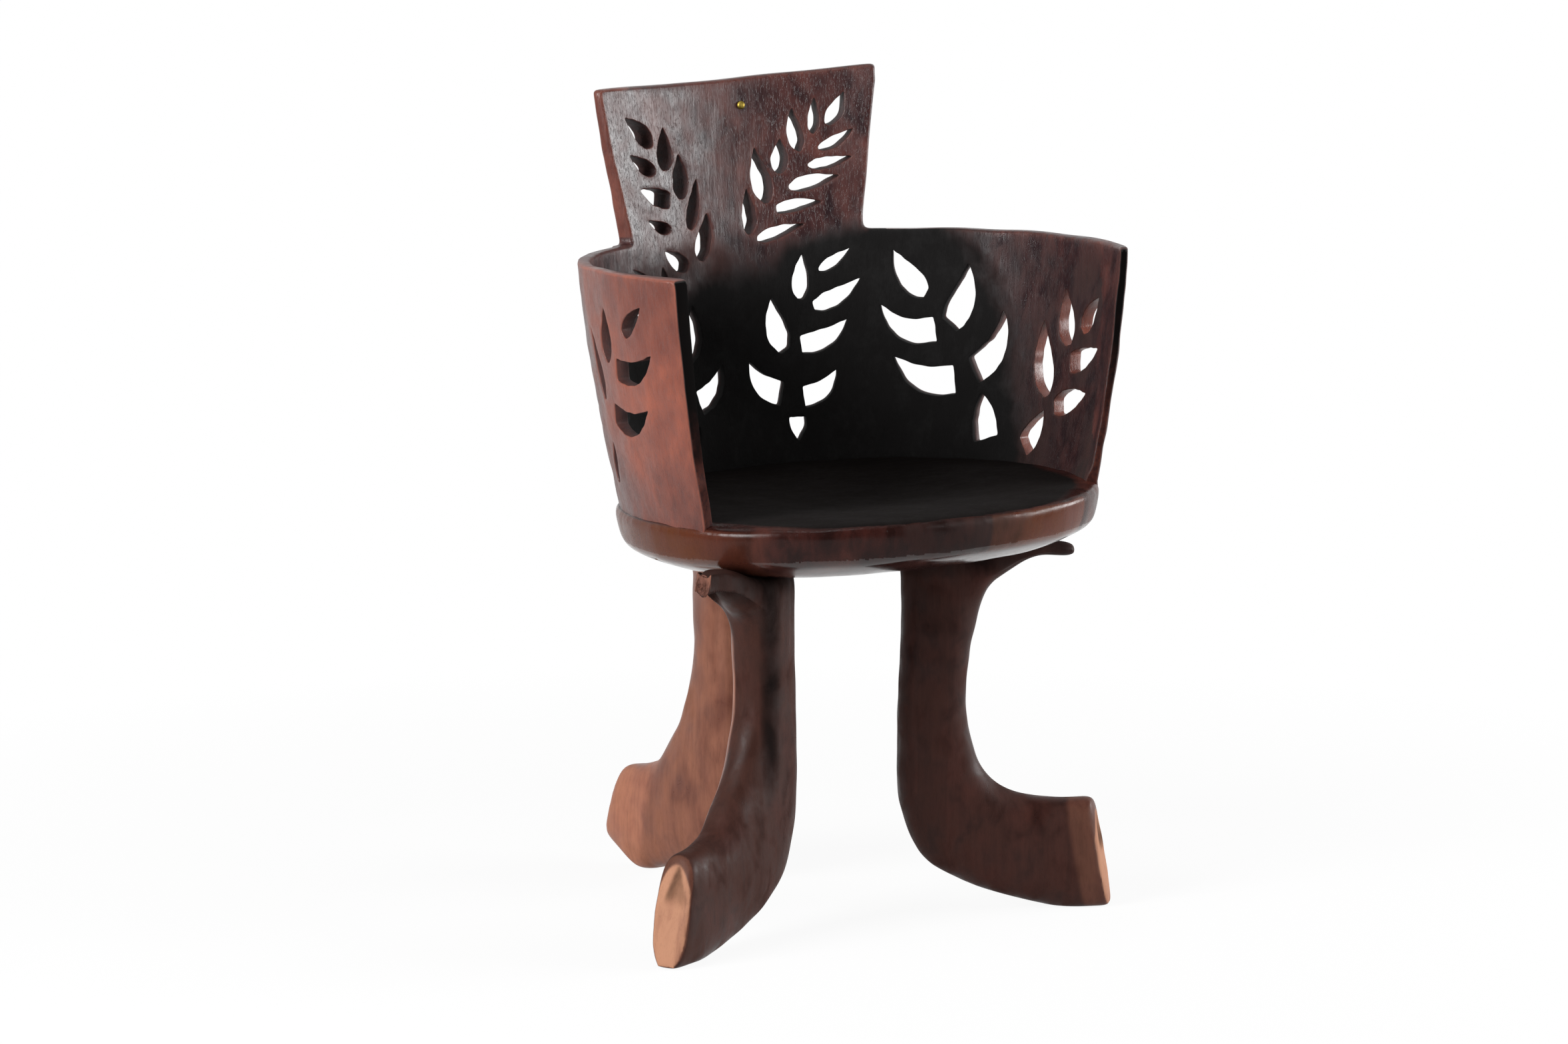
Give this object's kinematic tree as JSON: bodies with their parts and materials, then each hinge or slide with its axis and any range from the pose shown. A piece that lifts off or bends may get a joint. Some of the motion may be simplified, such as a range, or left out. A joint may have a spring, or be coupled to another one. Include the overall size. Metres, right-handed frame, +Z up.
{
  "type": "carved three-legged chair",
  "caption": "Low hardwood chair with a round dished seat, a flaring wall back pierced with leaf branches, a tall head panel and curved legs with outward feet.",
  "frame": {"origin": "on the floor, under the middle of the chair's outline seen from above", "axes": "+Z up; the open front of the seat looks along -Y; +X is the sitter's left, which is the right side seen from the front"},
  "size_m": [0.5818, 0.5696, 0.8643],
  "materials": {
    "seat_wood": "dark waxed hardwood, worn",
    "back_wood": "red-brown waxed hardwood, satin",
    "leg_wood": "red-brown waxed hardwood, satin, pale end grain at the feet",
    "wedge_wood": "raw split wood",
    "peg_wood": "whittled wood",
    "tack_brass": "worn"
  },
  "bodies": {
    "root": {"seat": "seat_wood", "back_shell": "back_wood", "leg_front_left": "leg_wood", "leg_front_right": "leg_wood", "leg_rear": "leg_wood", "fox_wedge_front_left": "wedge_wood", "fox_wedge_front_right": "wedge_wood", "fox_wedge_rear": "wedge_wood", "peg_1": "peg_wood", "peg_2": "peg_wood", "peg_3": "peg_wood", "peg_4": "peg_wood", "peg_5": "peg_wood", "brass_tack": "tack_brass"}
  },
  "joints": []
}
